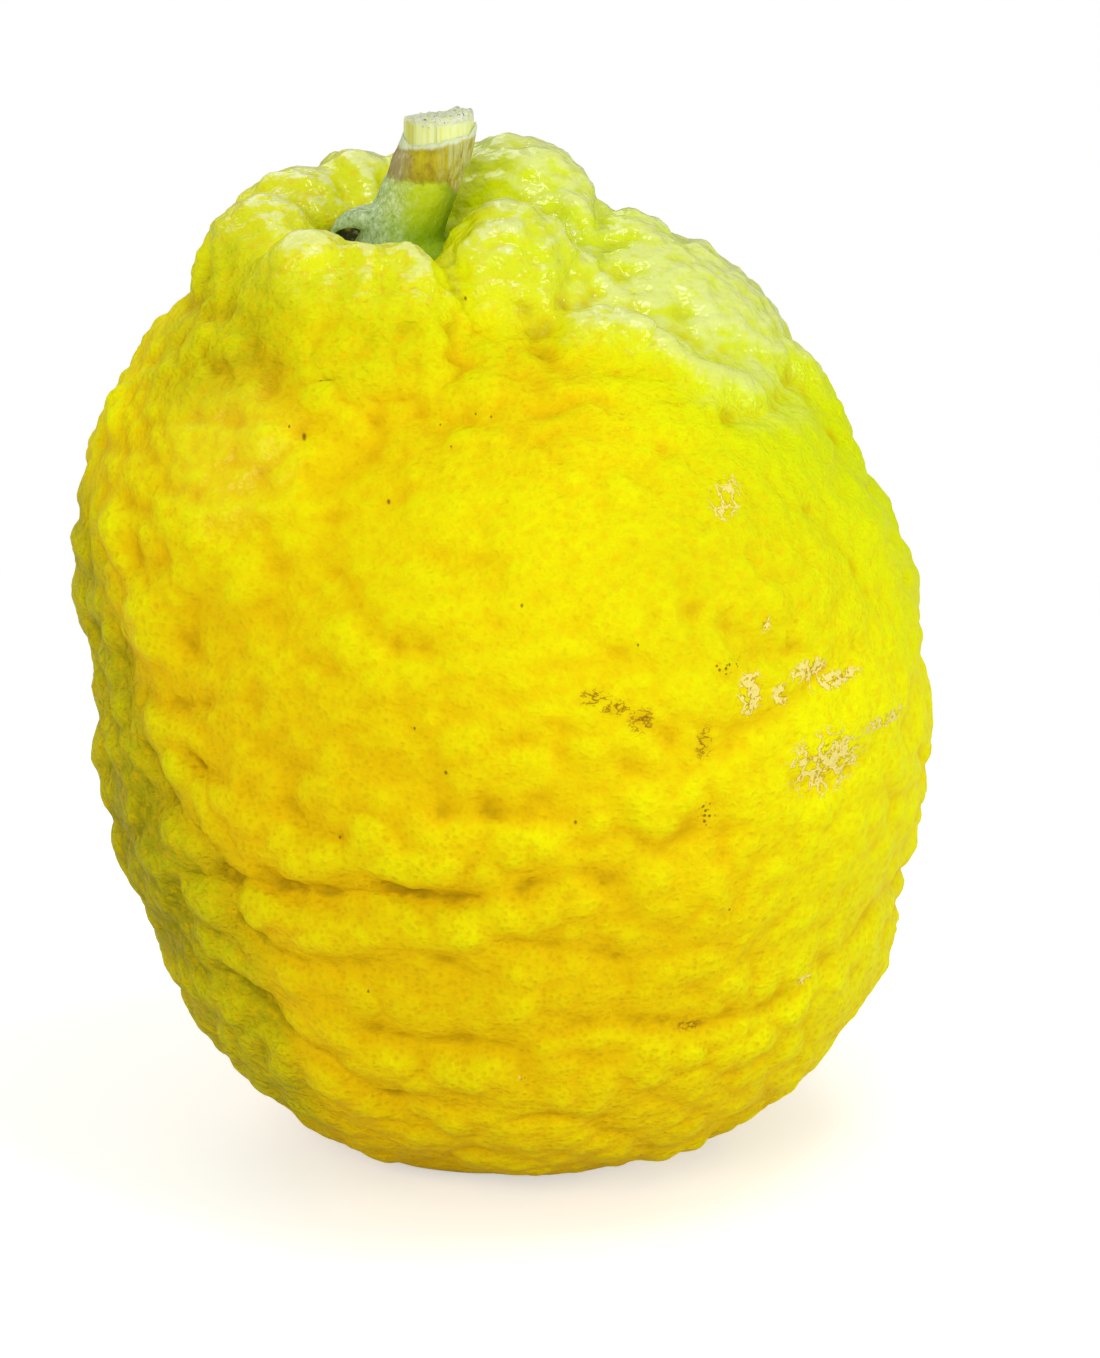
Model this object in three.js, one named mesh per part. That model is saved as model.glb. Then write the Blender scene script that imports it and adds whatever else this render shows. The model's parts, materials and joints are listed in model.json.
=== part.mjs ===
// Ponderosa lemon: one whole, picked fruit with its calyx and a cut stub of stem, standing on its
// blunt blossom end. Millimetres, +Z up. The origin is the middle of the box round the fruit, on the
// surface that it rests on.
import * as THREE from "three";
import { ImprovedNoise } from "three/addons/math/ImprovedNoise.js";
import { mergeVertices } from "three/addons/utils/BufferGeometryUtils.js";

// Driving dimensions
const fruitWidth = 103;
const rimHeight = 120; // from the resting surface to the rim of the collar of lobes
const stemTopHeight = 128.4;
const barkTopHeight = 125; // the wood is bare above this
const greenTopHeight = 120.4; // the calyx ends and the bark begins
const stemWidth = 9;
const fitGap = 0.3; // left between two pieces that touch
const seatGap = 0.9; // left under the calyx, where the facets of the hollow's floor stand proud of its curve

// Surface quality
const skinDetail = 19; // subdivisions of each side of the first icosahedron
const crownCrowding = 0.5; // 0 spreads the vertices evenly, nearer 1 gathers them at the collar
const roundSegments = 36;

const half = fruitWidth / 2;
const core = new THREE.Vector3(0, 0, 0.48 * rimHeight); // every ray that shapes the skin ends here
const collar = { x: -0.25 * half, y: 0.02 * half, radius: 0.33 * half };
const stemFoot = { x: -0.27 * half, y: 0.02 * half };

// The swellings whose smooth union is the fruit. Places and radii across are shares of half the
// width, heights and radii upwards are shares of the rim height.
const trunk = [
  { name: "middle", at: [0.03, 0, 0.458], radii: [0.98, 0.97, 0.45] },
  { name: "base", at: [0.055, 0, 0.28], radii: [0.885, 0.874, 0.3] },
  { name: "sole", at: [-0.03, 0, 0.2], radii: [0.69, 0.69, 0.225] },
  { name: "low shoulder", at: [-0.39, 0, 0.62], radii: [0.6, 0.7, 0.31] },
  { name: "high shoulder", at: [0.25, 0.155, 0.725], radii: [0.49, 0.505, 0.21] },
  { name: "collar mound", at: [-0.25, 0.02, 0.775], radii: [0.48, 0.48, 0.12] },
  { name: "upper rib", at: [0.38, -0.26, 0.8], radii: [0.34, 0.13, 0.06], turn: 4, tip: 36 },
  { name: "side rib", at: [0.6, 0.1, 0.75], radii: [0.32, 0.14, 0.08], turn: 20, tip: 55 },
  { name: "near knob", at: [0.3, 0.16, 0.875], radii: [0.14, 0.16, 0.08] },
  { name: "far knob", at: [0.42, 0.18, 0.845], radii: [0.14, 0.16, 0.08] },
];

// The lobes of the collar, anticlockwise from the right. The angle is in degrees, out is a share of
// the collar's radius, top a share of the rim height, and wide, deep and tall are half sizes as
// shares of half the width.
const lobes = [
  { angle: 241, out: 1.0, top: 0.974, wide: 0.24, deep: 0.19, tall: 0.28 },
  { angle: 280, out: 0.93, top: 0.97, wide: 0.17, deep: 0.19, tall: 0.28 },
  { angle: 334, out: 0.87, top: 0.992, wide: 0.24, deep: 0.2, tall: 0.3 },
  { angle: 40, out: 1.12, top: 1.02, wide: 0.27, deep: 0.2, tall: 0.27 },
  { angle: 80, out: 1.0, top: 1.003, wide: 0.14, deep: 0.17, tall: 0.24 },
  { angle: 108, out: 0.95, top: 1.003, wide: 0.13, deep: 0.18, tall: 0.24 },
  { angle: 138, out: 0.93, top: 0.993, wide: 0.17, deep: 0.19, tall: 0.25 },
  { angle: 184, out: 0.9, top: 0.988, wide: 0.22, deep: 0.17, tall: 0.27 },
  { angle: 207, out: 1.18, top: 0.93, wide: 0.13, deep: 0.12, tall: 0.24 },
];

const blendWidth = 1.6; // how far two swellings round into each other
const lumps = [
  { size: 17, squash: 0.75, height: 1.5 },
  { size: 8, squash: 0.6, height: 0.9 },
];

// A swelling as an ellipsoid: its middle, its radii and the turn that brings a point into its frame.
function ellipsoid(middle, radii, turn = 0, tip = 0) {
  const angles = new THREE.Euler(0, THREE.MathUtils.degToRad(tip), THREE.MathUtils.degToRad(turn), "ZYX");
  return { middle, radii, inverse: new THREE.Quaternion().setFromEuler(angles).invert() };
}

function trunkSwelling({ at, radii, turn, tip }) {
  const middle = new THREE.Vector3(at[0] * half, at[1] * half, at[2] * rimHeight);
  return ellipsoid(middle, new THREE.Vector3(radii[0] * half, radii[1] * half, radii[2] * rimHeight), turn, tip);
}

function lobeSwelling({ angle, out, top, wide, deep, tall }) {
  const turn = THREE.MathUtils.degToRad(angle);
  const reach = out * collar.radius;
  const middle = new THREE.Vector3(
    collar.x + reach * Math.cos(turn),
    collar.y + reach * Math.sin(turn),
    top * rimHeight - tall * half,
  );
  return ellipsoid(middle, new THREE.Vector3(deep * half, wide * half, tall * half), angle);
}

const swellings = [...trunk.map(trunkSwelling), ...lobes.map(lobeSwelling)];

// About how far a point lies outside an ellipsoid, negative inside.
const local = new THREE.Vector3();
function distanceTo({ middle, radii, inverse }, point) {
  local.subVectors(point, middle).applyQuaternion(inverse).divide(radii);
  const share = local.length();
  const slope = local.divide(radii).length();
  return slope > 0 ? (share * (share - 1)) / slope : -Math.min(radii.x, radii.y, radii.z);
}

function smoothMin(a, b, width) {
  const overlap = Math.max(width - Math.abs(a - b), 0) / width;
  return Math.min(a, b) - (overlap * overlap * width) / 4;
}

// Knobbly skin: humps that are wider than they are tall.
const noise = new ImprovedNoise();
function lumpHeight(point) {
  return lumps.reduce((sum, { size, squash, height }) => {
    const tall = size * squash;
    return sum + height * noise.noise(point.x / size + 7.3, point.y / size + 2.9, point.z / tall + 5.1);
  }, 0);
}

// How far a point lies outside the skin of the fruit.
function outsideSkin(point) {
  const union = swellings.reduce((nearest, s) => smoothMin(nearest, distanceTo(s, point), blendWidth), Infinity);
  return Math.max(union - lumpHeight(point), -point.z);
}

// The outermost point of the skin on a ray from the core.
function skinPoint(direction) {
  const farthest = 1.5 * half;
  const step = 0.8;
  const at = (reach) => core.clone().addScaledVector(direction, reach);
  let outer = farthest;
  while (outsideSkin(at(outer)) > 0) outer -= step;
  let inner = outer;
  outer += step;
  while (outer - inner > 1e-4) {
    const middle = (inner + outer) / 2;
    if (outsideSkin(at(middle)) > 0) outer = middle;
    else inner = middle;
  }
  const point = at(outer);
  if (point.z < 1e-2) point.z = 0;
  return point;
}

// Leans a direction towards the collar, so that the lobes get more of the vertices than the sides.
const crownDirection = new THREE.Vector3(collar.x, collar.y, rimHeight).sub(core).normalize();
function crowded(direction) {
  const angle = direction.angleTo(crownDirection);
  const turn = -crownCrowding * Math.sin(angle);
  const axis = new THREE.Vector3().crossVectors(crownDirection, direction);
  return axis.lengthSq() < 1e-12 ? direction : direction.applyAxisAngle(axis.normalize(), turn);
}

function fruitGeometry() {
  const sphere = new THREE.IcosahedronGeometry(1, skinDetail);
  sphere.deleteAttribute("normal");
  sphere.deleteAttribute("uv");
  const geometry = mergeVertices(sphere, 1e-5);
  const position = geometry.getAttribute("position");
  const direction = new THREE.Vector3();
  for (let i = 0; i < position.count; i++) {
    direction.fromBufferAttribute(position, i).normalize();
    const point = skinPoint(crowded(direction));
    position.setXYZ(i, point.x, point.y, point.z);
  }
  return geometry;
}

// The highest point of the skin under a disc that comes down along the stem's axis.
function highestSkin(radius) {
  const rings = [0, 0.25, 0.5, 0.75, 1].map((share) => share * radius);
  const bearings = Array.from({ length: roundSegments }, (_, i) => (2 * Math.PI * i) / roundSegments);
  const clear = (r, a, z) => {
    const axis = stemAxis(z);
    return outsideSkin(new THREE.Vector3(axis.x + r * Math.cos(a), axis.y + r * Math.sin(a), z)) > 0;
  };
  let height = greenTopHeight;
  while (rings.every((r) => bearings.every((a) => clear(r, a, height)))) height -= fitGap / 3;
  return height;
}

// The stem rises out of the hollow leaning to the right, then straightens.
function stemAxis(height) {
  const start = 0.9 * rimHeight;
  const rise = THREE.MathUtils.clamp((height - start) / (barkTopHeight - start), 0, 1);
  return { x: stemFoot.x + 0.115 * half * Math.sin((rise * Math.PI) / 2), y: stemFoot.y };
}

// A turned shape whose rings follow the stem's axis. The profile is [radius, height] from the bottom.
function turned(profile, reshape = () => {}) {
  const lathe = new THREE.LatheGeometry(profile.map(([r, z]) => new THREE.Vector2(r, z)), roundSegments);
  lathe.rotateX(Math.PI / 2);
  lathe.deleteAttribute("normal");
  lathe.deleteAttribute("uv");
  const position = lathe.getAttribute("position");
  const point = new THREE.Vector3();
  for (let i = 0; i < position.count; i++) {
    reshape(point.fromBufferAttribute(position, i));
    const axis = stemAxis(point.z);
    position.setXYZ(i, point.x + axis.x, point.y + axis.y, point.z);
  }
  return mergeVertices(lathe, 1e-3);
}

// The calyx: a green cone that flares into five sepals on the floor of the hollow.
function calyxGeometry() {
  const sepals = { count: 5, length: 0.17 * half, notch: 0.35, thickness: 1.5, first: Math.PI };
  const neck = stemWidth / 2;
  const waist = neck + 0.6; // the sepals fan out from here
  const seat = highestSkin(waist) + seatGap;
  const rise = greenTopHeight - seat;
  const lift = 0.3 * sepals.thickness;

  // How far the calyx reaches in one direction: each sepal stops short of the lobes round it.
  const reachTowards = (bearing) => {
    const between = 0.5 - 0.5 * Math.cos(sepals.count * (bearing - sepals.first)); // 0 at a tip
    let reach = sepals.length * (1 - sepals.notch * between);
    const isClear = (z) => {
      const axis = stemAxis(z);
      const edge = new THREE.Vector3(reach * Math.cos(bearing) + axis.x, reach * Math.sin(bearing) + axis.y, z);
      return outsideSkin(edge) > seatGap;
    };
    const heights = [0, 0.5, 1].map((share) => seat + lift + share * sepals.thickness);
    while (reach > waist && !heights.every(isClear)) reach -= fitGap / 2;
    return reach;
  };

  const profile = [
    [0, seat],
    [neck, seat],
    [sepals.length, seat + lift],
    [sepals.length, seat + lift + sepals.thickness],
    [neck + 0.9, seat + lift + 1.3 * sepals.thickness],
    [neck + 0.2, seat + 0.8 * rise],
    [neck, seat + rise],
    [0, seat + rise],
  ];
  return turned(profile, (point) => {
    const radius = Math.hypot(point.x, point.y);
    if (radius < waist) return;
    const reach = reachTowards(Math.atan2(point.y, point.x));
    const wanted = THREE.MathUtils.mapLinear(radius, waist, sepals.length, waist, reach);
    point.set((point.x * wanted) / radius, (point.y * wanted) / radius, point.z);
  });
}

// The stub of stem: a sleeve of bark that was cut back a little lower than the wood inside it.
function stemGeometry() {
  const bark = stemWidth / 2;
  const wood = 0.9 * bark;
  const foot = greenTopHeight + fitGap;
  return turned([
    [0, foot],
    [bark, foot],
    [1.03 * bark, foot + 0.25 * (barkTopHeight - foot)],
    [0.96 * bark, barkTopHeight - 0.3],
    [0.94 * bark, barkTopHeight],
    [wood, barkTopHeight + 0.3],
    [1.02 * wood, stemTopHeight - 0.5],
    [0.9 * wood, stemTopHeight],
    [0, stemTopHeight - 0.4],
  ]);
}

function piece(name, geometry, color, roughness) {
  geometry.computeVertexNormals();
  const mesh = new THREE.Mesh(geometry, new THREE.MeshStandardMaterial({ color, roughness, metalness: 0 }));
  mesh.name = name;
  return mesh;
}

const fruit = piece("fruit", fruitGeometry(), 0xf0d808, 0.45);
const calyx = piece("calyx", calyxGeometry(), 0x9cb814, 0.6);
const stem = piece("stem", stemGeometry(), 0xa89858, 0.8);

// The box round the fruit is centred on the origin.
fruit.geometry.computeBoundingBox();
const { min, max } = fruit.geometry.boundingBox;
const centred = new THREE.Group();
centred.position.set(-(min.x + max.x) / 2, -(min.y + max.y) / 2, 0);
centred.add(fruit, calyx, stem);

const ponderosaLemon = new THREE.Group();
ponderosaLemon.add(centred);

export default ponderosaLemon;
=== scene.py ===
import json
import math
from functools import reduce
from types import SimpleNamespace

import bmesh
import bpy
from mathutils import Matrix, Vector
from mathutils.bvhtree import BVHTree
from mathutils.kdtree import KDTree

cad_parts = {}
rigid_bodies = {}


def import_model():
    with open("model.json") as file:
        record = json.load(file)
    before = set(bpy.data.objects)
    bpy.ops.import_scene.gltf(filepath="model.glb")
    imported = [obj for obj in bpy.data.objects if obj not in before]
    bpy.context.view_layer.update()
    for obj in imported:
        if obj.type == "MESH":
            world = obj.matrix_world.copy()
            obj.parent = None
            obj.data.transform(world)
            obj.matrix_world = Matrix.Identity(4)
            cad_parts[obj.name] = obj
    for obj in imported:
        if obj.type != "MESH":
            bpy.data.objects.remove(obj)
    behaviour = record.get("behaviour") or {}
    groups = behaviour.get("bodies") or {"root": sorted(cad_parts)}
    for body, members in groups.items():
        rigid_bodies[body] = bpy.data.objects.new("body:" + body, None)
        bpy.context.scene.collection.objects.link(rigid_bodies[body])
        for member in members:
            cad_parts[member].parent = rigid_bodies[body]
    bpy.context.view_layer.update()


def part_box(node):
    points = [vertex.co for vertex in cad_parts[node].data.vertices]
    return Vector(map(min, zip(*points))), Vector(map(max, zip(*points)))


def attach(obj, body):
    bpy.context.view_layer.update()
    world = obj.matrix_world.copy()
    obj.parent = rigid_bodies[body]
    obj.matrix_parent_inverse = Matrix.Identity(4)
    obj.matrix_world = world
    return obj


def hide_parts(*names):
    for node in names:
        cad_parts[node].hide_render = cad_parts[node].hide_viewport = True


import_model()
print("frame loaded")

mm = 0.001
white = (1, 1, 1, 1)


# a socket that can be used in sums: wire * 2 + 1 adds the Math nodes
class Wire:
    def __init__(self, graph, socket):
        self.graph = graph
        self.socket = socket

    def maths(self, operation, *values):
        return self.graph.add("ShaderNodeMath", {"operation": operation}, dict(enumerate(values)))

    def __add__(self, other):
        return self.maths("ADD", self, other)

    def __radd__(self, other):
        return self.maths("ADD", other, self)

    def __sub__(self, other):
        return self.maths("SUBTRACT", self, other)

    def __rsub__(self, other):
        return self.maths("SUBTRACT", other, self)

    def __mul__(self, other):
        return self.maths("MULTIPLY", self, other)

    def __rmul__(self, other):
        return self.maths("MULTIPLY", other, self)

    def __truediv__(self, other):
        return self.maths("DIVIDE", self, other)

    def __rtruediv__(self, other):
        return self.maths("DIVIDE", other, self)

    def __abs__(self):
        return self.maths("ABSOLUTE", self)

    def lower(self, other):
        return self.maths("MINIMUM", self, other)

    def higher(self, other):
        return self.maths("MAXIMUM", self, other)

    # 0 at start and 1 at end, eased, and held beyond them
    def ramp(self, start, end):
        values = {"Value": self, "From Min": start, "From Max": end}
        return self.graph.add("ShaderNodeMapRange", {"interpolation_type": "SMOOTHSTEP"}, values)


# a node tree of any kind, with one way to add a node
class Graph:
    def __init__(self, tree):
        self.tree = tree
        tree.nodes.clear()

    def add(self, kind, settings=None, values=None, output=0):
        node = self.tree.nodes.new(kind)
        for name, value in (settings or {}).items():
            setattr(node, name, value)
        for name, value in (values or {}).items():
            if isinstance(value, Wire):
                self.tree.links.new(value.socket, node.inputs[name])
            else:
                node.inputs[name].default_value = value
        return Wire(self, node.outputs[output]) if node.outputs else None

    def vector(self, operation, *values, output=0, scale=None):
        wanted = dict(enumerate(values))
        if scale is not None:
            wanted["Scale"] = scale
        return self.add("ShaderNodeVectorMath", {"operation": operation}, wanted, output)

    def dot(self, first, second):
        return self.vector("DOT_PRODUCT", first, second, output="Value")

    def part(self, point, letter):
        return self.add("ShaderNodeSeparateXYZ", None, {0: point}, letter)

    def mix(self, factor, first, second):
        return self.add("ShaderNodeMix", {"data_type": "RGBA"}, {"Factor": factor, 6: first, 7: second}, 2)

    # lays a finish's colours over one another, each as far as its mask says
    def coats(self, colour, finish, *layers):
        for mask, name in layers:
            colour = self.mix(mask, colour, finish[name])
        return colour

    # a noise of about -1 to 1 whose lumps have this size along each axis
    def noise(self, point, size, detail=0.0, roughness=0.5):
        placed = self.vector("DIVIDE", point, size)
        values = {"Vector": placed, "Scale": 1.0, "Detail": detail, "Roughness": roughness}
        return (self.add("ShaderNodeTexNoise", None, values) - 0.5) * 3.2

    # a vector that wanders between 0 and 1 along each axis, over lumps of this size
    def wander(self, point, size):
        return self.add("ShaderNodeTexNoise", None, {"Vector": point, "Scale": 1 / size, "Detail": 1.0}, 1)

    # how far the nearest of many scattered middles is, as a share of their spacing
    def cells(self, point, spacing, randomness=1.0):
        values = {"Vector": point, "Scale": 1 / spacing, "Randomness": randomness}
        return self.add("ShaderNodeTexVoronoi", {"feature": "F1"}, values)

    # 1 inside an ellipsoid round a middle, easing to 0 outside it
    def near(self, point, middle, radii, inner=0.5, outer=1.4):
        away = self.vector("DIVIDE", self.vector("SUBTRACT", point, middle), radii)
        return self.vector("LENGTH", away, output="Value").ramp(outer, inner)

    # a normal from a relief whose height is in mm
    def bump(self, height):
        return self.add("ShaderNodeBump", None, {"Strength": 1.0, "Distance": mm, "Height": height})


def only(obj):
    if bpy.context.object and bpy.context.object.mode != "OBJECT":
        bpy.ops.object.mode_set(mode="OBJECT")
    bpy.ops.object.select_all(action="DESELECT")
    obj.select_set(True)
    bpy.context.view_layer.objects.active = obj


def applyModifier(obj, kind, **settings):
    only(obj)
    bpy.ops.object.modifier_add(type=kind)
    modifier = obj.modifiers[-1]
    for name, value in settings.items():
        setattr(modifier, name, value)
    bpy.ops.object.modifier_apply(modifier=modifier.name)


# moves the points of a piece by nodes: build gives the move in mm, and values kept on the moved points
def moveByNodes(piece, name, build):
    tree = bpy.data.node_groups.new(name, "GeometryNodeTree")
    tree.interface.new_socket("Geometry", in_out="INPUT", socket_type="NodeSocketGeometry")
    tree.interface.new_socket("Geometry", in_out="OUTPUT", socket_type="NodeSocketGeometry")
    graph = Graph(tree)
    start = graph.add("NodeGroupInput")
    point = graph.vector("SCALE", graph.add("GeometryNodeInputPosition"), scale=1 / mm)
    offset, kept = build(graph, point, graph.add("GeometryNodeInputNormal"))
    moved = graph.add("GeometryNodeSetPosition", None,
                      {"Geometry": start, "Offset": graph.vector("SCALE", offset, scale=mm)})
    for label, value in kept.items():
        moved = graph.add("GeometryNodeStoreNamedAttribute", {"data_type": "FLOAT", "domain": "POINT"},
                          {"Geometry": moved, "Name": label, "Value": value})
    graph.add("NodeGroupOutput", None, {0: moved})
    applyModifier(piece, "NODES", node_group=tree)


# a new material with an empty graph, and the point on the piece in mm
def startMaterial(name):
    material = bpy.data.materials.new(name)
    material.use_nodes = True
    graph = Graph(material.node_tree)
    point = graph.vector("SCALE", graph.add("ShaderNodeTexCoord", None, None, "Object"), scale=1 / mm)
    return material, graph, point


def paintWith(piece, material):
    piece.data.materials.clear()
    piece.data.materials.append(material)


# the skin is blocked out a little inside its box, which leaves room for the lumps
fruitLow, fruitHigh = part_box("fruit")
widthShare = 0.986
heightShare = 0.984
half = widthShare * (fruitHigh.x - fruitLow.x) / 2
rim = heightShare * fruitHigh.z

# sizes and places across are shares of half the fruit's width, heights are shares of its rim's height
fruitShape = {
    "shift": (-0.0115, 0.002),
    "voxel": 0.8 * mm,
    "melt": 10,
    # middle, radii, turn and tip in degrees
    "trunk": [
        ((0.03, 0, 0.458), (0.98, 0.97, 0.45), 0, 0),
        ((0.055, 0, 0.28), (0.885, 0.874, 0.3), 0, 0),
        ((-0.03, 0, 0.2), (0.69, 0.69, 0.225), 0, 0),
        ((-0.39, 0, 0.62), (0.6, 0.7, 0.31), 0, 0),
        ((0.25, 0.155, 0.725), (0.49, 0.505, 0.21), 0, 0),
        ((-0.25, 0.02, 0.775), (0.48, 0.48, 0.12), 0, 0),
        ((0.38, -0.26, 0.8), (0.34, 0.13, 0.06), 4, 36),
        ((0.6, 0.1, 0.75), (0.32, 0.14, 0.08), 20, 55),
        ((0.3, 0.16, 0.875), (0.14, 0.16, 0.08), 0, 0),
        ((0.42, 0.18, 0.845), (0.14, 0.16, 0.08), 0, 0),
    ],
    "collar": (-0.25, 0.02, 0.33),
    # angle, share of the collar's radius, top, and half sizes: wide, deep, tall
    "lobes": [
        (241, 1.0, 0.974, 0.25, 0.2, 0.36),
        (262, 1.0, 0.97, 0.17, 0.19, 0.34),
        (276, 0.95, 0.968, 0.15, 0.2, 0.36),
        (334, 0.9, 0.992, 0.25, 0.2, 0.35),
        (40, 1.12, 1.02, 0.27, 0.2, 0.27),
        (80, 1.0, 1.003, 0.14, 0.17, 0.24),
        (108, 0.95, 1.003, 0.13, 0.18, 0.24),
        (138, 0.93, 0.993, 0.17, 0.19, 0.25),
        (184, 0.9, 0.988, 0.22, 0.17, 0.27),
        (207, 1.18, 0.93, 0.13, 0.12, 0.24),
        (222, 1.4, 0.9, 0.15, 0.14, 0.24),
    ],
}

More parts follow.
